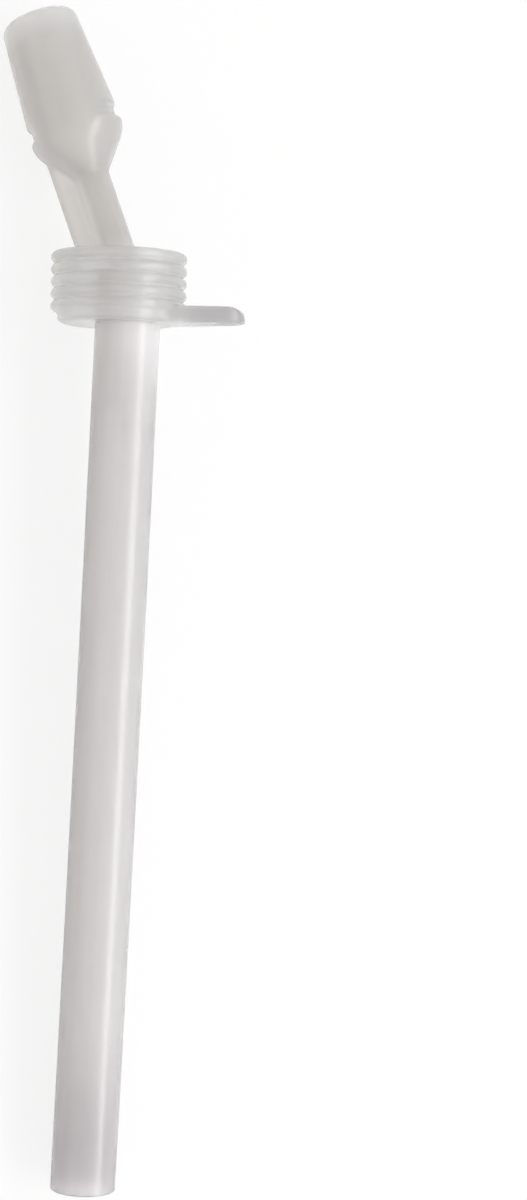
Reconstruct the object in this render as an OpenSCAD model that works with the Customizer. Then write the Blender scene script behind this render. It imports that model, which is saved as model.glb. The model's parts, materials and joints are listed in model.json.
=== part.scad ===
// Drinking straw of a flip-lid bottle: a soft moulding with a bite mouthpiece, a bent neck, a ribbed
// lid plug and a pull tab, and a stiff tube that is pushed into the plug from below.
// The straw lies on its side as it comes to rest on a table: +Y runs up the straw to the mouthpiece,
// +X points to the side of the pull tab, +Z is up, and the table is at z = 0.

/* [Tube] */
// Outer diameter of the tube
tube_d = 9.7; // [8:0.1:10.5]
// Wall thickness of the tube
tube_wall = 0.8; // [0.5:0.05:1.5]
// Length of the tube that shows below the plug
tube_drop = 129; // [80:1:220]
// Depth of the tube in the plug's socket
socket_depth = 7.75; // [4:0.25:8]
// Gap all round between the tube and its socket
socket_gap = 0.04; // [0.02:0.01:0.1]
// Distance of the tube from the plug's centre, towards the tab, at the underside
tube_offset = 1.45; // [0:0.1:2]
// Lean of the tube out of the plug's axis, in degrees
tube_lean = 1.9; // [0:0.1:3]

/* [Lid plug] */
// Diameter over the sealing ribs
rib_d = 20.2; // [19:0.1:23]
// Number of sealing ribs
rib_count = 5; // [4:1:6]
// Distance from rib to rib
rib_pitch = 1.81; // [1.75:0.01:2.4]
// Thickness of a rib
rib_t = 1.55; // [1.2:0.05:1.7]
// Height of the ribs over the plug's core
rib_h = 1.1; // [0.9:0.05:1.3]
// Width of the flat land on a rib's crest
rib_land = 0.3; // [0.2:0.05:0.6]
// Diameter of the flange under the ribs
flange_d = 18.2; // [17:0.1:19.5]
// Height of the flange under the first rib
flange_t = 1.7; // [1:0.1:2]
// Radius round the flange's lower edge
flange_round = 0.9; // [0.3:0.1:0.95]

/* [Pull tab] */
// Reach of the tab from the plug's centre
tab_reach = 19.2; // [15:0.1:26]
// Thickness of the tab
tab_t = 2.1; // [1.2:0.05:2.4]
// Distance from the lowest rib's crest down to the tab's top face, which keeps the lid's hole clear
tab_drop = 0.05; // [0:0.05:0.3]
// Radius under the tab's nose; the round over the nose takes the rest of its thickness
tab_nose_round = 0.5; // [0.2:0.05:0.55]
// Width of the tab's round end
tab_tip_w = 5.8; // [4:0.1:8]
// Width of the tab at its root
tab_root_w = 10; // [8:0.1:14]
// Distance of that root from the plug's centre
tab_root_x = 4.5; // [3:0.1:6]
// Width of the finger dimple in each face of the tab's end
dimple_d = 3.6; // [2:0.1:3.8]
// Depth of the finger dimple
dimple_depth = 0.3; // [0.1:0.05:0.5]

/* [Neck] */
// Outer diameter of the neck
neck_d = 5.4; // [4.5:0.1:6.5]
// Diameter of the drinking channel in the neck
channel_d = 3; // [2:0.1:3.4]
// Lean of the neck out of the plug's axis, away from the tab, in degrees
neck_lean = 20.5; // [15:0.1:30]
// Height over the plug's underside where the neck's axis meets the tube's
bend_z = 5.5; // [4:0.1:7]
// Distance along the neck from that bend to the middle of the mouthpiece's notches
neck_len = 25.8; // [22:0.1:36]
// Distance of the keel's outer edge from the neck's axis
keel_reach = 5.87; // [5.2:0.01:6]
// Thickness of the keel's round edge
keel_t = 3.2; // [2.4:0.1:3.6]
// Thickness of the web between the keel's edge and the neck
keel_web = 2.3; // [1.4:0.1:2.4]

/* [Mouthpiece] */
// Diameter at the rim
rim_d = 11.3; // [10:0.1:13]
// Diameter at the foot of the skirt
skirt_d = 14; // [13.2:0.1:16]
// Diameter of the shoulder under the skirt
shoulder_d = 14.2; // [13.4:0.1:16]
// Length from the notches to the rim
mouth_len = 17.1; // [13:0.1:22]
// Drop from the notches to the shoulder's lower edge
shoulder_drop = 2.6; // [2.2:0.1:4]
// Drop from the notches to where the funnel meets the neck
funnel_drop = 8.2; // [7:0.1:12]
// Radius round the rim
rim_round = 1.8; // [0.5:0.1:2]
// Radius round the shoulder's lower edge
shoulder_round = 4; // [2:0.1:4.5]
// Wall thickness round the chamber
mouth_wall = 1.5; // [1:0.1:2]
// Radius round the chamber's ceiling
chamber_round = 1; // [0.3:0.1:1.5]
// Thickness of the end wall that holds the drinking slit
roof_t = 3; // [1.5:0.1:4]
// Length of the drinking slit
slit_len = 5.6; // [3:0.1:6]
// Width of the drinking slit
slit_w = 0.5; // [0.3:0.05:1]

/* [Notches] */
// Height of the notch on each side
notch_h = 1.4; // [1:0.1:2.2]
// Depth of the notches
notch_depth = 0.65; // [0.4:0.05:1]
// Angle that each notch spans
notch_span = 106; // [40:1:120]
// Radius over a notch's lips
notch_round = 0.7; // [0.2:0.05:0.8]

/* [Hidden] */
$fn = 96;
silicone = [0.83, 0.83, 0.81];
frosted_plastic = [0.91, 0.91, 0.92];
over = 1;        // how far a cut runs past the face that it opens
settle_steps = 60;

tube_r = tube_d / 2;
neck_r = neck_d / 2;
channel_r = channel_d / 2;
core_r = rib_d / 2 - rib_h;
plug_h = flange_t + rib_t + (rib_count - 1) * rib_pitch;
rib_round = (rib_t - rib_land) / 2;
keel_r = keel_t / 2;
keel_x = keel_r - keel_reach;
tab_tip_x = tab_reach - tab_tip_w / 2;
tab_lift = flange_t + (rib_t - rib_land) / 2 - tab_drop - tab_t;

// Plug's own frame: origin at the middle of its underside, +Z up the plug, +X to the tab
function leaning(angle) = [sin(angle), 0, cos(angle)];
tube_axis = leaning(tube_lean);
neck_axis = leaning(-neck_lean);
function on_tube(z) = [tube_offset + z * tan(tube_lean), 0, z];
bend = on_tube(bend_z);
tube_foot = on_tube(0) - tube_drop * tube_axis;
function rib_z(i) = flange_t + rib_t / 2 + i * rib_pitch;

// Half outline of the mouthpiece as [radius, height over the bend], and the round at each corner
mouth_outline = [
    [0, neck_len + mouth_len],
    [rim_d / 2, neck_len + mouth_len],
    [skirt_d / 2, neck_len],
    [shoulder_d / 2, neck_len - shoulder_drop],
    [neck_r, neck_len - funnel_drop],
    [0, neck_len - funnel_drop]
];
mouth_rounds = [0, rim_round, 0, shoulder_round, 0, 0];

// Chamber inside it: the same outline, one wall further in, closed by the end wall
funnel_run = mouth_outline[3] - mouth_outline[4];
funnel_rise = mouth_wall * norm(funnel_run) / funnel_run[0];
function funnel_z(r) =
    mouth_outline[4][1] + (r - neck_r) * funnel_run[1] / funnel_run[0] + funnel_rise;
chamber_top = neck_len + mouth_len - roof_t;
rim_taper = (skirt_d - rim_d) / 2 / mouth_len;
chamber_top_r = rim_d / 2 + roof_t * rim_taper - mouth_wall;
chamber_outline = [
    [0, chamber_top],
    [chamber_top_r, chamber_top],
    [skirt_d / 2 - mouth_wall, neck_len],
    [skirt_d / 2 - mouth_wall, funnel_z(skirt_d / 2 - mouth_wall)],
    [channel_r, funnel_z(channel_r)],
    [0, funnel_z(channel_r)]
];
chamber_rounds = [0, chamber_round, 0, shoulder_round - mouth_wall, 0, 0];

// Tangent points and centre of the round of radius r at corner p, between neighbours a and b
function unit(v) = v / norm(v);
function round_at(a, p, b, r) =
    let (u = unit(a - p), w = unit(b - p), half = acos(u * w) / 2)
    [p + u * r / tan(half), p + w * r / tan(half), p + unit(u + w) * r / sin(half)];
function rounds_of(points, radii) =
    let (n = len(points))
    [for (i = [0:n - 1]) round_at(points[(i + n - 1) % n], points[i], points[(i + 1) % n], radii[i])];

// How far a thing reaches along direction n, measured from the plug's origin.
// A disc is [centre, axis, radius, half thickness, radius of its rounded edge].
function disc_reach(d, n) =
    d[0] * n + d[2] * sqrt(max(0, 1 - pow(n * d[1], 2))) + d[3] * abs(n * d[1]) + d[4];
function reach(discs, n) = max([for (d = discs) disc_reach(d, n)]);
mouth_corners = rounds_of(mouth_outline, mouth_rounds);
mouth_discs = [
    for (i = [1:3]) [bend + mouth_corners[i][2][1] * neck_axis, neck_axis,
                     mouth_corners[i][2][0], 0, mouth_rounds[i]]
];
foot_disc = [tube_foot, tube_axis, tube_r, 0, 0];
rib_discs = [
    for (i = [0:rib_count - 1]) [[0, 0, rib_z(i)], [0, 0, 1], rib_d / 2 - rib_round, rib_land / 2,
                                 rib_round]
];
tab_disc = [[tab_tip_x, 0, tab_lift + tab_t / 2], [0, 0, 1], tab_tip_w / 2, tab_t / 2, 0];
all_discs = concat(mouth_discs, rib_discs, [foot_disc, tab_disc]);

// Rest on the table: the plug's axis is pitched and rolled until the tube's foot, the ribs and the
// mouthpiece reach equally far down. Each step turns it by what is missing over the lever.
function down(pitch, roll) = [-cos(pitch) * sin(roll), cos(pitch) * cos(roll), -sin(pitch)];
roll_lever = neck_len * sin(neck_lean);
function settle(pitch, roll, steps) =
    steps == 0 ? [pitch, roll] :
    let (n = down(pitch, roll), ribs = reach(rib_discs, n))
    settle(pitch + atan((ribs - disc_reach(foot_disc, n)) / tube_drop),
           roll + atan((ribs - reach(mouth_discs, n)) / roll_lever), steps - 1);
rest = settle(0, 0, settle_steps);
rest_pitch = rest[0];
rest_roll = rest[1];

// Directions of the table's frame, seen in the plug's own frame before the turn about +Z
table_x = [cos(rest_roll), sin(rest_roll), 0];
table_down = down(rest_pitch, rest_roll);
table_y = cross(table_x, table_down);
rest_yaw = atan2(tube_axis * table_x, tube_axis * table_y);
along_x = cos(rest_yaw) * table_x - sin(rest_yaw) * table_y;
along_y = sin(rest_yaw) * table_x + cos(rest_yaw) * table_y;
function middle(n) = (reach(all_discs, n) - reach(all_discs, -n)) / 2;
rest_shift = [-middle(along_x), -middle(along_y), reach(rib_discs, table_down)];

module at_rest() {
    translate(rest_shift)
        rotate([0, 0, rest_yaw])
            rotate([rest_pitch - 90, 0, 0])
                rotate([0, 0, -rest_roll])
                    children();
}

module on_neck() {
    translate(bend) rotate([0, -neck_lean, 0]) children();
}

module on_foot() {
    translate(tube_foot) rotate([0, tube_lean, 0]) children();
}

// Polygon whose convex corners are true arcs
module rounded_outline(points, radii) {
    corners = rounds_of(points, radii);
    polygon([for (i = [0:len(points) - 1])
        each radii[i] > 0 ? [corners[i][0], corners[i][1]] : [points[i]]]);
    for (i = [0:len(points) - 1])
        if (radii[i] > 0)
            intersection() {
                translate(corners[i][2]) circle(r = radii[i]);
                polygon([corners[i][0], points[i], corners[i][1], corners[i][2]]);
            }
}

// One sealing rib: two rounds with a flat land between them
module rib_outline() {
    crest_r = rib_d / 2;
    for (side = [-1, 1])
        translate([crest_r - rib_round, side * rib_land / 2]) circle(r = rib_round);
    translate([0, -rib_land / 2]) square([crest_r, rib_land]);
    translate([0, -rib_t / 2]) square([crest_r - rib_round, rib_t]);
}

module plug_body() {
    flange_r = flange_d / 2;
    rotate_extrude() {
        rounded_outline(
            [[0, 0], [flange_r, 0], [flange_r, flange_t + rib_t / 2], [0, flange_t + rib_t / 2]],
            [0, flange_round, 0, 0]);
        translate([0, flange_t]) square([core_r, plug_h - flange_t]);
        for (i = [0:rib_count - 1]) translate([0, rib_z(i)]) rib_outline();
    }
}

// Tapered tongue with a round end: the outline of two circles and their common tangents, kept to
// a side profile with a rounded nose
module tab() {
    tip_r = tab_tip_w / 2;
    root_r = tab_root_w / 2;
    turn = asin((root_r - tip_r) / (tab_tip_x - tab_root_x));
    dish_r = (pow(dimple_d / 2, 2) + pow(dimple_depth, 2)) / 2 / dimple_depth;
    translate([0, 0, tab_lift])
        difference() {
            intersection() {
                linear_extrude(tab_t) {
                    translate([tab_tip_x, 0]) circle(r = tip_r);
                    translate([tab_root_x, 0]) circle(r = root_r);
                    polygon([
                        [tab_root_x + root_r * sin(turn), -root_r * cos(turn)],
                        [tab_tip_x + tip_r * sin(turn), -tip_r * cos(turn)],
                        [tab_tip_x + tip_r * sin(turn), tip_r * cos(turn)],
                        [tab_root_x + root_r * sin(turn), root_r * cos(turn)]
                    ]);
                }
                rotate([90, 0, 0])
                    linear_extrude(tab_root_w + 2 * over, center = true)
                        rounded_outline(
                            [[-tab_root_w, 0], [tab_reach, 0], [tab_reach, tab_t], [-tab_root_w, tab_t]],
                            [0, tab_nose_round, tab_t - tab_nose_round, 0]);
            }
            for (face = [[-1, 0], [1, tab_t]])
                translate([tab_tip_x, 0, face[1] + face[0] * (dish_r - dimple_depth)])
                    sphere(r = dish_r);
        }
}

// Round neck with a thick-edged keel on the side away from the tab
module neck_body() {
    neck_top = neck_len - shoulder_drop;
    on_neck() {
        cylinder(r = neck_r, h = neck_top);
        translate([keel_x, 0, 0]) cylinder(r = keel_r, h = neck_top);
        translate([keel_x, -keel_web / 2, 0]) cube([-keel_x, keel_web, neck_top]);
    }
}

module mouthpiece_body() {
    on_neck() rotate_extrude() rounded_outline(mouth_outline, mouth_rounds);
}

// Slot with rounded lips, cut into the skirt's foot on the tab side and opposite it
module notches() {
    skirt_r = max(skirt_d, shoulder_d) / 2;
    lip_r = skirt_r - notch_round;
    floor_r = skirt_d / 2 - notch_depth;
    on_neck()
        translate([0, 0, neck_len])
            for (side = [0, 180])
                rotate([0, 0, side - notch_span / 2])
                    rotate_extrude(angle = notch_span) {
                        translate([floor_r, -notch_h / 2]) square([skirt_r - floor_r + over, notch_h]);
                        for (lip = [-1, 1])
                            difference() {
                                translate([lip_r, lip * (notch_h + notch_round) / 2 - notch_round / 2])
                                    square([notch_round + over, notch_round]);
                                translate([lip_r, lip * (notch_h / 2 + notch_round)])
                                    circle(r = notch_round);
                            }
                    }
}

// Everything that the drink runs through, and the socket that the tube is pushed into
module inside() {
    on_neck() {
        rotate_extrude() rounded_outline(chamber_outline, chamber_rounds);
        cylinder(r = channel_r, h = neck_len - shoulder_drop);
        translate([-slit_w / 2, -slit_len / 2, chamber_top - over])
            cube([slit_w, slit_len, roof_t + 2 * over]);
    }
    on_foot() {
        cylinder(r = tube_r + socket_gap, h = tube_drop + socket_depth);
        cylinder(r = channel_r, h = tube_drop + bend_z / cos(tube_lean));
    }
}

module soft_moulding() {
    color(silicone)
        at_rest()
            difference() {
                union() {
                    plug_body();
                    tab();
                    neck_body();
                    mouthpiece_body();
                }
                notches();
                inside();
            }
}

module tube() {
    color(frosted_plastic)
        at_rest()
            on_foot()
                difference() {
                    cylinder(r = tube_r, h = tube_drop + socket_depth);
                    translate([0, 0, -over])
                        cylinder(r = tube_r - tube_wall, h = tube_drop + socket_depth + 2 * over);
                }
}

soft_moulding();
tube();
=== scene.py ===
import json
import math

import bmesh
import bpy
from mathutils import Matrix, Vector


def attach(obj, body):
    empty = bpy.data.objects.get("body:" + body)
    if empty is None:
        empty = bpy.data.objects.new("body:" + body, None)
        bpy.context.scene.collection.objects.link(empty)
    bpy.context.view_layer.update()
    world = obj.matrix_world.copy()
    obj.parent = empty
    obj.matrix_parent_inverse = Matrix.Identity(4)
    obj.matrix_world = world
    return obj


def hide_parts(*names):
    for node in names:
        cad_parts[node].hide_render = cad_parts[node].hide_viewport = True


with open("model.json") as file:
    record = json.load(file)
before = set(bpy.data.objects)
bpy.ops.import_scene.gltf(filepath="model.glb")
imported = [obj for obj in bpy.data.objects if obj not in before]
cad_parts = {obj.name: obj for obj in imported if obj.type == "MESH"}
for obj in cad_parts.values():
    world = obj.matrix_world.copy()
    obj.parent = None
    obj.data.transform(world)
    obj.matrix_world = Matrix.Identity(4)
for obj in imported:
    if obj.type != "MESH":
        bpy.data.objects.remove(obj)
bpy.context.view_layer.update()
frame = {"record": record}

mm = 0.001  # the shapes are worked in millimetres and placed in metres
scene = bpy.context.scene
print("frame loaded")


# How the plug lies: +Z up its own axis, +X to the pull tab, origin at the middle of its underside.
# The sizes in the dictionaries are in mm where no comment says otherwise
mounts = {mount["name"]: mount for mount in frame["record"]["mounts"]}
plugAxis = Vector(mounts["lid_plug"]["axis"]).normalized()
plugMiddle = Vector(mounts["lid_plug"]["pos_m"])
tubeAxis = -Vector(mounts["tube_inlet"]["axis"]).normalized()
tubeFoot = Vector(mounts["tube_inlet"]["pos_m"])
plugR = mounts["lid_plug"]["dims"]["r_mm"]
boreR = mounts["tube_inlet"]["dims"]["r_mm"]
tubeLength = mounts["tube_inlet"]["dims"]["length_mm"]

plug = {
    "ribs": 5,
    "ribPitch": 1.81,
    "ribThick": 1.5,
    "ribHeight": 0.7,  # as far down as a groove can be seen
    "ribLand": 0.25,  # the straight part of a crest, between its two rounds
    "ribStart": 0.775,  # from the flange's top to the middle of the first rib
    "flangeR": 9.1,
    "flangeHeight": 1.7,
    "flangeRound": 0.9,
    "sharp": 35,  # degrees: edges of the whole moulding that turn by more stay crisp
}
firstRib = plug["flangeHeight"] + plug["ribStart"]  # height of its middle
plugHeight = firstRib + plug["ribThick"] / 2 + (plug["ribs"] - 1) * plug["ribPitch"]
middleHeight = firstRib + (plug["ribs"] - 1) / 2 * plug["ribPitch"]


def frameFrom(origin, zAxis, xHint):
    xAxis = (xHint - zAxis * xHint.dot(zAxis)).normalized()
    turn = Matrix((xAxis, zAxis.cross(xAxis), zAxis)).transposed().to_4x4()
    return Matrix.Translation(origin) @ turn


plugFrame = frameFrom(plugMiddle - plugAxis * middleHeight * mm, plugAxis, tubeAxis)
tubeFrame = frameFrom(tubeFoot, tubeAxis, plugFrame.col[0].to_3d())
tubeInPlug = plugFrame.inverted() @ tubeFrame
tubeInPlug.translation /= mm


# Mesh helpers, all in millimetres
weld = 0.0005  # vertices closer than this are merged


def wire(corners, closed=False):
    # corners are (radius, height, round): each round is made by a bevel of that corner
    shape = bmesh.new()
    points = [shape.verts.new((x, 0, z)) for x, z, size in corners]
    for a, b in zip(points, points[1:]):
        shape.edges.new((a, b))
    if closed:
        shape.edges.new((points[-1], points[0]))
    for point, (_, _, size) in zip(points, corners):
        if size:
            bmesh.ops.bevel(shape, geom=[point], offset=size, offset_type="OFFSET",
                            affect="VERTICES", segments=8, profile=0.5, material=-1)
    return shape


def spun(shape, steps=192, angle=math.tau):
    full = angle == math.tau
    bmesh.ops.spin(shape, geom=shape.verts[:] + shape.edges[:], cent=(0, 0, 0), axis=(0, 0, 1),
                   angle=angle, steps=steps, use_merge=full, use_duplicate=False)
    bmesh.ops.remove_doubles(shape, verts=shape.verts[:], dist=weld)
    bmesh.ops.recalc_face_normals(shape, faces=shape.faces[:])
    return shape


def placed(shape, matrix):
    bmesh.ops.transform(shape, matrix=matrix, verts=shape.verts[:])
    return shape


def rod(radius, low, high, sides=96):
    shape = bmesh.new()
    bmesh.ops.create_cone(shape, cap_ends=True, segments=sides, radius1=radius, radius2=radius,
                          depth=high - low, matrix=Matrix.Translation((0, 0, (low + high) / 2)))
    return shape


def block(low, high):
    shape = bmesh.new()
    low, high = Vector(low), Vector(high)
    bmesh.ops.create_cube(shape, size=1)
    bmesh.ops.scale(shape, vec=high - low, verts=shape.verts[:])
    return placed(shape, Matrix.Translation((low + high) / 2))


def asObject(name, *shapes):
    mesh = bpy.data.meshes.new(name)
    whole = bmesh.new()
    for shape in shapes:
        shape.to_mesh(mesh)
        whole.from_mesh(mesh)
        shape.free()
    whole.to_mesh(mesh)
    whole.free()
    piece = bpy.data.objects.new(name, mesh)
    scene.collection.objects.link(piece)
    return piece


def applied(piece):
    graph = bpy.context.evaluated_depsgraph_get()
    mesh = bpy.data.meshes.new_from_object(piece.evaluated_get(graph))
    piece.modifiers.clear()
    piece.data = mesh
    return piece


def combined(piece, operation, *shapes):
    tool = asObject("tool", *shapes)
    change = piece.modifiers.new("cut", "BOOLEAN")
    change.operation, change.object, change.solver = operation, tool, "EXACT"
    change.use_self = len(shapes) > 1
    applied(piece)
    bpy.data.objects.remove(tool)
    return piece


def remeshed(piece, voxel):
    change = piece.modifiers.new("skin", "REMESH")
    change.mode, change.voxel_size = "VOXEL", voxel
    return applied(piece)


def softened(piece, rounds, isSoft):
    shape = bmesh.new()
    shape.from_mesh(piece.data)
    soft = [v for v in shape.verts if isSoft(v.co)]
    for _ in range(rounds):
        bmesh.ops.smooth_vert(shape, verts=soft, factor=0.5,
                              use_axis_x=True, use_axis_y=True, use_axis_z=True)
    shape.to_mesh(piece.data)
    shape.free()


def finished(piece, matrix, sharpAngle):
    piece.data.transform(matrix @ Matrix.Scale(mm, 4))
    piece.data.polygons.foreach_set("use_smooth", [True] * len(piece.data.polygons))
    piece.data.set_sharp_from_angle(angle=math.radians(sharpAngle))
    return piece


# Plug: ribs with round crests on a core, and the flange under them
def plugShape():
    coreR = plugR - plug["ribHeight"]
    crestRound = (plug["ribThick"] - plug["ribLand"]) / 2
    shapes = [spun(wire([
        (0, 0, 0), (plug["flangeR"], 0, plug["flangeRound"]),
        (plug["flangeR"], plug["flangeHeight"] + plug["ribThick"] / 2, 0),
        (0, plug["flangeHeight"] + plug["ribThick"] / 2, 0)]))]
    low = firstRib - plug["ribThick"] / 2
    for i in range(plug["ribs"]):
        high = low + plug["ribThick"]
        shapes.append(spun(wire([
            (0, low, 0), (plugR, low, crestRound), (plugR, high, crestRound), (0, high, 0)])))
        low += plug["ribPitch"]
    shapes.append(rod(coreR, plug["flangeHeight"], plugHeight, sides=192))
    return shapes


# Pull tab: a tapered tongue with a rounded nose and a small dimple in each face
tab = {
    "reach": 19.2,  # from the plug's axis
    "thick": 2.4,
    "lift": 0.025,  # off the plug's underside
    "tipR": 2.9,
    "rootR": 5,
    "rootX": 4.5,
    "noseRound": 0.5,
    "dimpleR": 1.8,
    "dimpleDepth": 0.3,
    "padR": 2.5,
    "padSwell": 0.22,  # how far the pad stands out of the tab's faces
    "padDrop": 0.2,  # its middle lies below the tab's
    "padStretch": (1.1, 1.06),  # times padR, along and across the tab
}


def tabShape():
    tipX = tab["reach"] - tab["tipR"]
    turn = math.asin((tab["rootR"] - tab["tipR"]) / (tipX - tab["rootX"]))
    outline, arcSteps = bmesh.new(), 23
    for side in (1, -1):
        for x, radius, first, last in (
                (tab["rootX"], tab["rootR"], math.pi, math.pi / 2 - turn),
                (tipX, tab["tipR"], math.pi / 2 - turn, 0)):
            for i in range(arcSteps + 1):
                angle = first + (last - first) * i / arcSteps
                outline.verts.new((x + radius * math.cos(angle), side * radius * math.sin(angle), 0))
    bmesh.ops.remove_doubles(outline, verts=outline.verts[:], dist=weld)
    middleX = tipX - tab["reach"] / 2
    around = sorted(outline.verts, key=lambda v: math.atan2(v.co.y, v.co.x - middleX))
    outline.faces.new(around)
    grown = bmesh.ops.extrude_face_region(outline, geom=outline.faces[:])
    bmesh.ops.translate(outline, vec=(0, 0, tab["thick"]),
                        verts=[v for v in grown["geom"] if isinstance(v, bmesh.types.BMVert)])
    bmesh.ops.recalc_face_normals(outline, faces=outline.faces[:])
    plan = asObject("pullTab", outline)

    # the nose, seen from the side: a small round below and a large one above, cut out of the outline
    far, side = tab["reach"], tab["rootR"] + 1
    upperRound = tab["thick"] - tab["noseRound"] - 0.02
    profile = wire([(-far, 0, 0), (far, 0, tab["noseRound"]), (far, tab["thick"], upperRound),
                    (-far, tab["thick"], 0)], closed=True)
    bmesh.ops.translate(profile, vec=(0, -side, 0), verts=profile.verts[:])
    rim = bmesh.ops.extrude_edge_only(profile, edges=profile.edges[:])
    bmesh.ops.translate(profile, vec=(0, 2 * side, 0),
                        verts=[v for v in rim["geom"] if isinstance(v, bmesh.types.BMVert)])
    bmesh.ops.holes_fill(profile, edges=profile.edges[:], sides=0)
    bmesh.ops.recalc_face_normals(profile, faces=profile.faces[:])
    combined(plan, "INTERSECT", profile)

    pad = bmesh.new()
    flatness = (tab["thick"] / 2 + tab["padSwell"]) / tab["padR"]
    bmesh.ops.create_icosphere(pad, subdivisions=5, radius=tab["padR"],
                               matrix=Matrix.Translation((tipX, 0, tab["thick"] / 2 - tab["padDrop"]))
                               @ Matrix.Diagonal((*tab["padStretch"], flatness, 1)))
    combined(plan, "UNION", pad)
    dishR = (tab["dimpleR"] ** 2 + tab["dimpleDepth"] ** 2) / 2 / tab["dimpleDepth"]
    for face, away in ((0, -1), (tab["thick"], 1)):
        ball = bmesh.new()
        height = face + away * (dishR - tab["dimpleDepth"])
        bmesh.ops.create_icosphere(ball, subdivisions=5, radius=dishR,
                                   matrix=Matrix.Translation((tipX, 0, height)))
        combined(plan, "DIFFERENCE", ball)
    shape = bmesh.new()
    shape.from_mesh(plan.data)
    bpy.data.objects.remove(plan)
    return placed(shape, Matrix.Translation((0, 0, tab["lift"])))


# Neck and mouthpiece, on an axis that leans out of the plug's by neckLean
mouth = {
    "neckR": 2.7,
    "channelR": 1.5,
    "neckLean": 20.5,  # degrees
    "bendHeight": 5.5,  # where the neck's axis starts on the tube's
    "neckLength": 25.8,
    "keelReach": 5.87,  # the keel is the bead along the outer side of the bend, joined by a web
    "keelR": 1.6,
    "keelWeb": 2.3,
    "rimR": 5.65,
    "skirtR": 7,
    "shoulderR": 7.1,
    "length": 17.1,
    "shoulderDrop": 2.6,
    "funnelDrop": 8.2,
    "rimRound": 1.8,
    "shoulderRound": 4,
    "wall": 1.5,
    "endWall": 3,
    "chamberRound": 1,
    "ceilingRound": 0.9,
    "slitLength": 5.6,
    "slitWidth": 0.5,
    "notchHeight": 1.4,
    "notchDepth": 0.65,
    "notchSpan": 106,  # degrees
    "notchSweep": 120,  # degrees of the cutter, which runs out of the skin before its ends
    "notchRound": 0.2,
    "notchLip": 0.7,
}
neckTop = mouth["neckLength"] + mouth["length"]
bendX = (tubeInPlug @ Vector((0, 0, 0))).x
bendX += (mouth["bendHeight"] - tubeInPlug.translation.z) * tubeInPlug[0][2] / tubeInPlug[2][2]
neckFrame = (Matrix.Translation((bendX, 0, mouth["bendHeight"]))
             @ Matrix.Rotation(math.radians(-mouth["neckLean"]), 4, "Y"))


def tangent(a, b, c, radius):
    # distance from the corner b, between a and c, at which a round of that radius starts
    u, w = (Vector(a) - Vector(b)).normalized(), (Vector(c) - Vector(b)).normalized()
    return radius / math.tan(u.angle(w) / 2)


def mouthOutline(inset):
    # half of the section, from the funnel's foot up to the rim: the outside, or the chamber inset in it
    m = mouth
    notch = m["neckLength"]
    foot = (m["neckR"], notch - m["funnelDrop"])
    shoulder = (m["shoulderR"], notch - m["shoulderDrop"])
    skirt = (m["skirtR"], notch)
    rim = (m["rimR"], neckTop)
    if not inset:
        return [(0, foot[1], 0), (*foot, 0),
                (*shoulder, tangent(foot, shoulder, skirt, m["shoulderRound"])), (*skirt, 0),
                (*rim, tangent(skirt, rim, (0, neckTop), m["rimRound"])), (0, neckTop, 0)]
    wall, ceiling = m["wall"], neckTop - m["endWall"]
    run = Vector(shoulder) - Vector(foot)
    lift = wall * run.length / run.x
    height = lambda r: foot[1] + (r - foot[0]) * run.y / run.x + lift
    inner = m["skirtR"] - wall
    top = m["rimR"] + m["endWall"] * (m["skirtR"] - m["rimR"]) / m["length"] - wall
    return [(0, height(m["channelR"]), 0), (m["channelR"], height(m["channelR"]), 0),
            (inner, height(inner), m["chamberRound"]), (inner, notch, 0),
            (top, ceiling, m["ceilingRound"]), (0, ceiling, 0)]


def notchCutter(side):
    # its floor is an arc of a larger circle, so that the notch runs out to nothing at both ends
    m = mouth
    end = math.radians(m["notchSpan"] / 2)
    r, deep = m["skirtR"], m["skirtR"] - m["notchDepth"]
    shift = (r * r - deep * deep) / 2 / (r * math.cos(end) - deep)
    floorR, half, lip = deep - shift, m["notchHeight"] / 2, m["notchLip"]
    outer = floorR + m["notchDepth"]
    beyond, size = outer + 2, m["notchRound"]
    shape = wire([(floorR, -half, size), (outer - lip, -half, 0), (outer, -half - lip, 0),
                  (beyond, -half - lip, 0), (beyond, half + lip, 0), (outer, half + lip, 0),
                  (outer - lip, half, 0), (floorR, half, size)], closed=True)
    reach = math.radians(m["notchSweep"] / 2)
    placed(shape, Matrix.Rotation(-reach, 4, "Z"))
    spun(shape, steps=64, angle=2 * reach)
    bmesh.ops.holes_fill(shape, edges=[e for e in shape.edges if e.is_boundary], sides=0)
    bmesh.ops.recalc_face_normals(shape, faces=shape.faces[:])
    return placed(shape, neckFrame @ Matrix.Rotation(side, 4, "Z")
                  @ Matrix.Translation((shift, 0, m["neckLength"])))


def neckShapes():
    m = mouth
    top = m["neckLength"] - m["shoulderDrop"]
    keelX = m["keelR"] - m["keelReach"]
    shapes = [
        rod(m["neckR"], 0, top),
        placed(rod(m["keelR"], 0, top), Matrix.Translation((keelX, 0, 0))),
        block((keelX, -m["keelWeb"] / 2, 0), (0, m["keelWeb"] / 2, top)),
        spun(wire(mouthOutline(False))),
    ]
    return [placed(shape, neckFrame) for shape in shapes]


# One skin over all of it, whose joins are softened as those of a moulding are
skin = {
    "voxel": 0.2,
    "rounds": 4,  # of smoothing everywhere but on the ribs
    "neckRounds": 4,  # more of it on the neck, below the funnel
    "ribMargin": 0.5,  # inside the grooves' floor
    "topMargin": 0.3,  # above the plug
    "neckMargins": (1, 5),  # below the plug's top and below the notches
    "grip": 0.05,  # by which the rubber is tighter than the tube
    "seatMargins": (0.4, 0.1),  # inside and outside the tube's wall and end
}


def offRibs(point):
    nearAxis = math.hypot(point.x, point.y) < plugR - plug["ribHeight"] - skin["ribMargin"]
    return (nearAxis or point.z < plug["flangeHeight"] or point.z > plugHeight + skin["topMargin"]
            or point.x > plugR)


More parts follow.
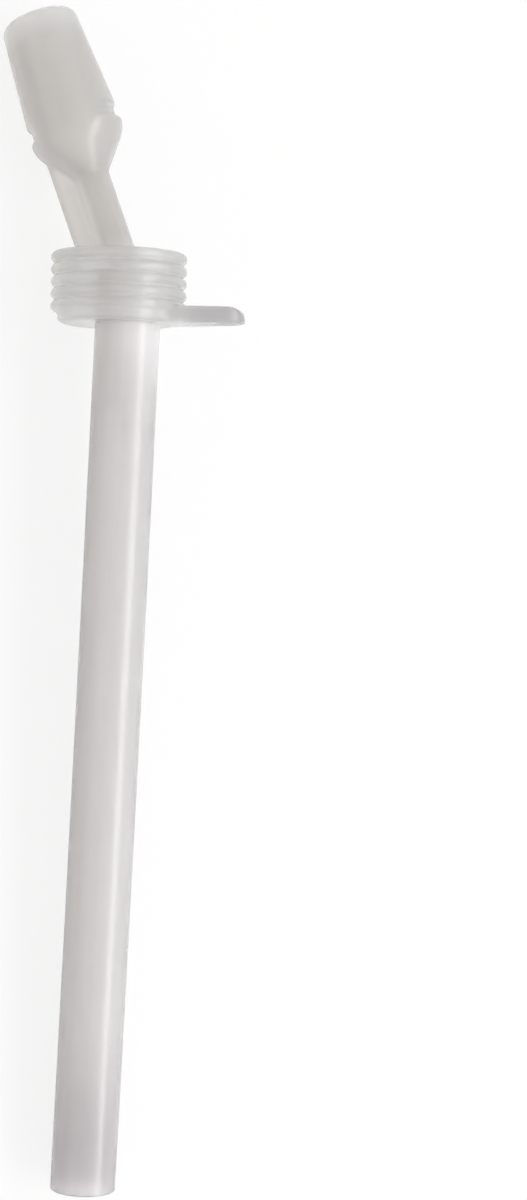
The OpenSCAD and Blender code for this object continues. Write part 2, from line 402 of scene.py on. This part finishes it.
def onNeck(point):
    height = (neckFrame.inverted() @ point).z
    below, above = skin["neckMargins"]
    return offRibs(point) and plugHeight - below < point.z and height < mouth["neckLength"] - above


def softMoulding():
    m = mouth
    piece = asObject("softMoulding", *plugShape(), tabShape(), *neckShapes())
    remeshed(piece, skin["voxel"])
    for side in (0, math.pi):
        combined(piece, "DIFFERENCE", notchCutter(side))
    remeshed(piece, skin["voxel"])
    softened(piece, 1, lambda point: True)
    softened(piece, skin["rounds"], offRibs)
    softened(piece, skin["neckRounds"], onNeck)
    print("moulding skinned", len(piece.data.polygons))
    chamber = placed(spun(wire(mouthOutline(True)), steps=96), neckFrame)
    combined(piece, "DIFFERENCE", chamber)
    channel = rod(m["channelR"], 0, m["neckLength"] - m["shoulderDrop"], 64)
    combined(piece, "DIFFERENCE", placed(channel, neckFrame))
    halfSlit = Vector((m["slitWidth"] / 2, m["slitLength"] / 2, 0))
    low, high = Vector((0, 0, neckTop - m["endWall"] - 1)), Vector((0, 0, neckTop + 1))
    combined(piece, "DIFFERENCE", placed(block(low - halfSlit, high + halfSlit), neckFrame))
    socket = rod(boreR + tube["wall"] - skin["grip"], -1, tubeLength, 192)
    combined(piece, "DIFFERENCE", placed(socket, tubeInPlug))
    # the wall of the socket, where rubber and tube touch with no air between, has its own material
    toTube = tubeInPlug.inverted()
    inside, outside = skin["seatMargins"]
    for face in piece.data.polygons:
        point = toTube @ face.center
        onWall = boreR + inside < math.hypot(point.x, point.y) < boreR + tube["wall"] + outside
        if onWall and face.center.z > 0 and point.z < tubeLength - outside:
            face.material_index = 1
    return finished(piece, plugFrame, plug["sharp"])


# Tube: extruded, sawn and lightly rounded at both ends, with the slight bow of an extruded length
tube = {
    "wall": 0.8,
    "rimRound": 0.18,
    "endGap": 0.05,  # to the end of the socket
    "bow": 0.13,
    "rings": 48,  # along it, for the bow
    "sharp": 40,  # degrees
}


def tubePiece():
    outerR, top, size = boreR + tube["wall"], tubeLength - tube["endGap"], tube["rimRound"]
    shape = wire([(boreR, 0, size), (outerR, 0, size), (outerR, top, size), (boreR, top, size)],
                 closed=True)
    for edge in [e for e in shape.edges if e.calc_length() > top / 2]:
        bmesh.ops.subdivide_edges(shape, edges=[edge], cuts=tube["rings"])
    spun(shape, steps=160)
    for vert in shape.verts:
        share = vert.co.z / tubeLength
        vert.co.x += tube["bow"] * math.sin(math.pi * share)
    return finished(asObject("strawTube", shape), tubeFrame, tube["sharp"])


moulding = softMoulding()
straw = tubePiece()
print("pieces modelled", len(moulding.data.polygons), len(straw.data.polygons))


# Materials: all of them read Object coordinates, which are metres in the frame
def linear(hexColour):
    parts = [int(hexColour[i:i + 2], 16) / 255 for i in (1, 3, 5)]
    return [*(p / 12.92 if p <= 0.04045 else ((p + 0.055) / 1.055) ** 2.4 for p in parts), 1]


def addNode(tree, kind, inputs=None, **settings):
    node = tree.nodes.new(kind)
    for name, value in settings.items():
        setattr(node, name, value)
    for name, value in (inputs or {}).items():
        if isinstance(value, bpy.types.NodeSocket):
            tree.links.new(value, node.inputs[name])
        else:
            node.inputs[name].default_value = value
    return node


def newMaterial(name):
    material = bpy.data.materials.new(name)
    material.use_nodes = True
    material.node_tree.nodes.clear()
    return material, material.node_tree


def blend(tree, share, tone, hexColour):
    # from a tone, as a socket or as four numbers, towards a colour
    return addNode(tree, "ShaderNodeMix", {0: share, 6: tone, 7: linear(hexColour)},
                   data_type="RGBA").outputs[2]


def rise(tree, place, matrix, along, low, high):
    # from 0 at the low to 1 at the high distance, in mm, along one axis of a frame
    axis = matrix.col[along].to_3d().normalized()
    foot = axis.dot(matrix.translation)
    reach = addNode(tree, "ShaderNodeVectorMath", {0: place.outputs["Object"], 1: axis},
                    operation="DOT_PRODUCT")
    return addNode(tree, "ShaderNodeMapRange", {
        0: reach.outputs["Value"], 1: foot + low * mm, 2: foot + high * mm},
        interpolation_type="SMOOTHSTEP").outputs[0]


# Liquid silicone rubber, injection moulded in a spark-eroded mould: milky, soft gloss, and thin
# enough in places for the tube to show through it
silicone = {
    "milk": "#EAE9E7",
    "cloud": "#E5E4E1",  # of faint clouds in the milk
    "cloudSize": 6,
    # painted light: a lighter colour on the floor of the grooves between the ribs, standing in for the
    # light that the ribs on both sides scatter into them
    "paintedGrooveLight": "#FBFAF9",  # for the light that the ribs on both sides scatter into a groove
    "paintedGrooveLightEdges": ((0.6, 0.1), (-0.6, -0.2)),  # out from its floor: where that tone starts and is full
    # painted light and shade: a colour, and the distances between which it takes over: up the neck, and
    # for the tab out along it. Painted shade makes the neck, the mouthpiece and most of all the tab
    # darker, painted light makes the thin rim lighter
    "neck": ("#D1CECA", 5, 8),
    "mouth": ("#DAD7D4", 16, 20),
    "rim": ("#F6F4F1", 38, 42),
    "tab": ("#A3A1A5", 7.5, 12.5),
    "grainSize": 0.35,  # the real grain is about 0.05, drawn coarser to show at all
    "grainDepth": 0.012,
    "roughness": 0.45,
    "shine": 0.08,  # roughness of the smooth skin
    "ior": 1.41,
    "scatter": 8,
    "scatterColours": (1.0, 0.96, 0.9),  # red goes in deepest
    "clear": 0.6,  # share of the milk that light goes through
    "veil": 0.62,  # how far the skin veils what lies behind it
    "wetVeil": 0.0,  # the same where the tube touches, with no air between
    "depth": 0.02,  # per mm
    "depthColour": "#B8B7B4",
}


def paintedGrooveLightMask(tree, place):
    # 1 on the floor of the grooves between the ribs, where light is painted, 0 on the crests and nearer
    # the plug's axis
    turned = addNode(tree, "ShaderNodeMapping", {
        "Vector": place.outputs["Object"], "Location": plugFrame.translation,
        "Rotation": plugFrame.to_euler()}, vector_type="TEXTURE")
    flat = addNode(tree, "ShaderNodeVectorMath", {0: turned.outputs[0], 1: (1, 1, 0)},
                   operation="MULTIPLY")
    reach = addNode(tree, "ShaderNodeVectorMath", {0: flat.outputs[0]}, operation="LENGTH")
    floorR = plugR - plug["ribHeight"]
    shares = [addNode(tree, "ShaderNodeMapRange", {
        0: reach.outputs["Value"], 1: (floorR + start) * mm, 2: (floorR + full) * mm},
        interpolation_type="SMOOTHSTEP").outputs[0] for start, full in silicone["paintedGrooveLightEdges"]]
    return addNode(tree, "ShaderNodeMath", dict(enumerate(shares)), operation="MULTIPLY").outputs[0]


def siliconeMaterial(name, veil):
    s = silicone
    material, tree = newMaterial(name)
    place = addNode(tree, "ShaderNodeTexCoord")
    cloud = addNode(tree, "ShaderNodeTexNoise", {
        "Vector": place.outputs["Object"], "Scale": 1 / (s["cloudSize"] * mm), "Detail": 2.0})
    tone = blend(tree, cloud.outputs["Fac"], linear(s["milk"]), s["cloud"])
    # painted light in the grooves between the ribs
    tone = blend(tree, paintedGrooveLightMask(tree, place), tone, s["paintedGrooveLight"])
    # painted shade on the neck, the mouthpiece and the tab, and painted light on the rim
    for paintedLightAndShadeRegion, matrix, along in (
            ("neck", neckFrame, 2), ("mouth", neckFrame, 2), ("rim", neckFrame, 2), ("tab", Matrix(), 0)):
        colour, low, high = s[paintedLightAndShadeRegion]
        matrix = plugFrame @ Matrix.Scale(mm, 4) @ matrix
        tone = blend(tree, rise(tree, place, matrix, along, low, high), tone, colour)
    grain = addNode(tree, "ShaderNodeTexNoise", {
        "Vector": place.outputs["Object"], "Scale": 1 / (s["grainSize"] * mm), "Detail": 3.0})
    bump = addNode(tree, "ShaderNodeBump", {
        "Height": grain.outputs["Fac"], "Strength": 1.0, "Distance": s["grainDepth"] * mm})
    shader = addNode(tree, "ShaderNodeBsdfPrincipled", {
        "Base Color": tone, "Roughness": s["roughness"], "IOR": s["ior"],
        "Coat Weight": 1.0, "Coat Roughness": s["shine"], "Coat IOR": s["ior"],
        "Subsurface Weight": 1.0, "Subsurface Radius": s["scatterColours"],
        "Subsurface Scale": s["scatter"] * mm, "Transmission Weight": s["clear"],
        "Alpha": veil, "Normal": bump.outputs["Normal"]})
    depth = addNode(tree, "ShaderNodeVolumeAbsorption", {
        "Color": linear(s["depthColour"]), "Density": s["depth"] / mm})
    addNode(tree, "ShaderNodeOutputMaterial", {
        "Surface": shader.outputs[0], "Volume": depth.outputs[0]})
    return material


# Polypropylene, extruded: milky and satin, with faint lines along it from the die
polypropylene = {
    "milk": "#F5F3F3",
    "streak": "#F0EEEE",
    "streakWidth": 0.5,  # round the tube
    "streakLength": 60,
    "streakDepth": 0.01,
    "streakShow": 0.6,  # share of that depth that is drawn
    # painted shade: the tube is coloured darker towards its foot
    "foot": ("#E3E0E2", 26, 4),  # colour, and the heights over the foot between which it takes over
    "roughness": 0.27,
    "ior": 1.49,
    "scatter": 1.5,
    "scatterShare": 0.7,
    "scatterColours": (1.0, 0.98, 0.96),
    "clear": 0.7,  # share that light goes through
    "seatClear": 0.22,  # inside the plug
    "fade": 16,  # below the plug, over which the one runs into the other
}


def polypropyleneMaterial():
    p = polypropylene
    material, tree = newMaterial("extrudedPolypropylene")
    place = addNode(tree, "ShaderNodeTexCoord")
    along = addNode(tree, "ShaderNodeMapping", {
        "Vector": place.outputs["Object"], "Location": tubeFrame.translation,
        "Rotation": tubeFrame.to_euler(),
        "Scale": (p["streakWidth"] * mm, p["streakWidth"] * mm, p["streakLength"] * mm)},
        vector_type="TEXTURE")
    streak = addNode(tree, "ShaderNodeTexNoise", {
        "Vector": along.outputs[0], "Scale": 1.0, "Detail": 2.0})
    tone = blend(tree, streak.outputs["Fac"], linear(p["milk"]), p["streak"])
    # painted shade, darker towards the foot
    paintedFootShade, high, low = p["foot"]
    tone = blend(tree, rise(tree, place, tubeFrame, 2, high, low), tone, paintedFootShade)
    seat = tubeInPlug.inverted().translation.z
    clear = addNode(tree, "ShaderNodeMath", {
        0: rise(tree, place, tubeFrame, 2, seat, seat - p["fade"]), 1: p["clear"] - p["seatClear"],
        2: p["seatClear"]}, operation="MULTIPLY_ADD")
    bump = addNode(tree, "ShaderNodeBump", {
        "Height": streak.outputs["Fac"], "Strength": p["streakShow"],
        "Distance": p["streakDepth"] * mm})
    shader = addNode(tree, "ShaderNodeBsdfPrincipled", {
        "Base Color": tone, "Roughness": p["roughness"], "IOR": p["ior"],
        "Subsurface Weight": p["scatterShare"], "Subsurface Radius": p["scatterColours"],
        "Subsurface Scale": p["scatter"] * mm, "Transmission Weight": clear.outputs[0],
        "Normal": bump.outputs["Normal"]})
    addNode(tree, "ShaderNodeOutputMaterial", {"Surface": shader.outputs[0]})
    return material


moulding.data.materials.append(siliconeMaterial("liquidSiliconeRubber", silicone["veil"]))
moulding.data.materials.append(siliconeMaterial("siliconeOnTube", silicone["wetVeil"]))
straw.data.materials.append(polypropyleneMaterial())
for piece, node, slot in (
        (moulding, "soft_moulding", "frosted_silicone"), (straw, "tube", "extruded_tube")):
    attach(piece, "root")
    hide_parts(node)
print("materials made")


# Floor and light: a white table in an evenly lit room, two soft lights to the right of it and a
# faint warm one to the left
studio = {
    "floorSize": 6,  # m
    "floorColour": "#F6F6F6",
    "floorLift": 0.8,  # share of plain white that the camera sees in the floor round the straw
    "floorFade": (0.15, 0.6),  # m from the straw, over which the floor turns plain white
    "room": 0.64,  # strength of the even light from all round
    "stripSize": (0.22, 0.55),  # m
    "stripDistance": 0.6,  # m
    # colour, watts, and degrees from overhead, to the side of the pull tab and to the tube's foot
    "strip": ("#FFFFFF", 1.75, 43, 0),
    "warm": ("#FFCFA4", 0.25, -55, 0),
    "low": ("#FFFFFF", 1.1, 55, 45),
}


def seenRays(tree):
    # 1 for what the camera sees, also mirrored or through the straw, and 0 for what lights it
    path = addNode(tree, "ShaderNodeLightPath")
    seen = path.outputs["Is Camera Ray"]
    for kind in ("Is Glossy Ray", "Is Transmission Ray"):
        seen = addNode(tree, "ShaderNodeMath", {0: seen, 1: path.outputs[kind]},
                       operation="MAXIMUM").outputs[0]
    return seen


def floorPiece():
    shape = bmesh.new()
    bmesh.ops.create_grid(shape, x_segments=1, y_segments=1, size=studio["floorSize"] / 2)
    floor = asObject("floor", shape)
    material, tree = newMaterial("whitePaper")
    paper = addNode(tree, "ShaderNodeBsdfDiffuse", {"Color": linear(studio["floorColour"])})
    glow = addNode(tree, "ShaderNodeEmission", {"Color": (1, 1, 1, 1), "Strength": 1.0})
    place = addNode(tree, "ShaderNodeTexCoord")
    away = addNode(tree, "ShaderNodeVectorMath", {0: place.outputs["Object"]}, operation="LENGTH")
    near, far = studio["floorFade"]
    lift = addNode(tree, "ShaderNodeMapRange", {
        0: away.outputs["Value"], 1: near, 2: far, 3: studio["floorLift"], 4: 1.0},
        interpolation_type="SMOOTHSTEP")
    share = addNode(tree, "ShaderNodeMath", {0: seenRays(tree), 1: lift.outputs[0]},
                    operation="MULTIPLY")
    mixed = addNode(tree, "ShaderNodeMixShader", {
        0: share.outputs[0], 1: paper.outputs[0], 2: glow.outputs[0]})
    addNode(tree, "ShaderNodeOutputMaterial", {"Surface": mixed.outputs[0]})
    floor.data.materials.append(material)


def roomLight():
    world = bpy.data.worlds.new("room")
    scene.world = world
    world.use_nodes = True
    tree = world.node_tree
    tree.nodes.clear()
    lit, seen = (addNode(tree, "ShaderNodeBackground", {"Color": (1, 1, 1, 1), "Strength": strength})
                 for strength in (studio["room"], 1.0))
    mixed = addNode(tree, "ShaderNodeMixShader", {
        0: seenRays(tree), 1: lit.outputs[0], 2: seen.outputs[0]})
    addNode(tree, "ShaderNodeOutputWorld", {"Surface": mixed.outputs[0]})


def stripLight(name):
    colour, watts, *angles = studio[name]
    data = bpy.data.lights.new(name, "AREA")
    data.shape = "RECTANGLE"
    data.size, data.size_y = studio["stripSize"]
    data.energy = watts
    data.color = linear(colour)[:3]
    lamp = bpy.data.objects.new(name, data)
    scene.collection.objects.link(lamp)
    side, along = (math.radians(angle) for angle in angles)
    away = Vector((math.sin(side) * math.cos(along), -math.sin(along),
                   math.cos(side) * math.cos(along)))
    lamp.matrix_world = frameFrom(away * studio["stripDistance"], away, Vector((1, 0, 0)))


floorPiece()
roomLight()
for name in ("strip", "warm", "low"):
    stripLight(name)
print("stage set")


# Camera: where the photograph was taken from, worked out from the straw's outline
view = {
    "lens": 72.39,
    "sensor": 36,  # its long side
    "aim": (25.065, 1.237, 8),  # what the middle of the picture looks at
    "distance": 365.77,
    "tilt": 15.255,  # degrees round the straw's length, towards the side away from the tab
    "pitch": 1.559,  # degrees down the straw
    "roll": 2.371,  # degrees in the picture
}


def photoCamera():
    a, b, c = (math.radians(view[name]) for name in ("tilt", "pitch", "roll"))
    forward = Vector((math.sin(a), math.sin(b) * math.cos(a), -math.cos(a) * math.cos(b)))
    right = forward.cross(Vector((0, 1, 0))).normalized()
    up = right.cross(forward)
    across = right * math.cos(c) + up * math.sin(c)
    upward = up * math.cos(c) - right * math.sin(c)
    data = bpy.data.cameras.new("photo")
    data.lens, data.sensor_width, data.sensor_fit = view["lens"], view["sensor"], "AUTO"
    camera = bpy.data.objects.new("photo", data)
    scene.collection.objects.link(camera)
    turn = Matrix((across, upward, -forward)).transposed().to_4x4()
    place = (Vector(view["aim"]) - forward * view["distance"]) * mm
    camera.matrix_world = Matrix.Translation(place) @ turn
    scene.camera = camera


photoCamera()
scene.view_settings.view_transform = "Standard"
print("camera placed")
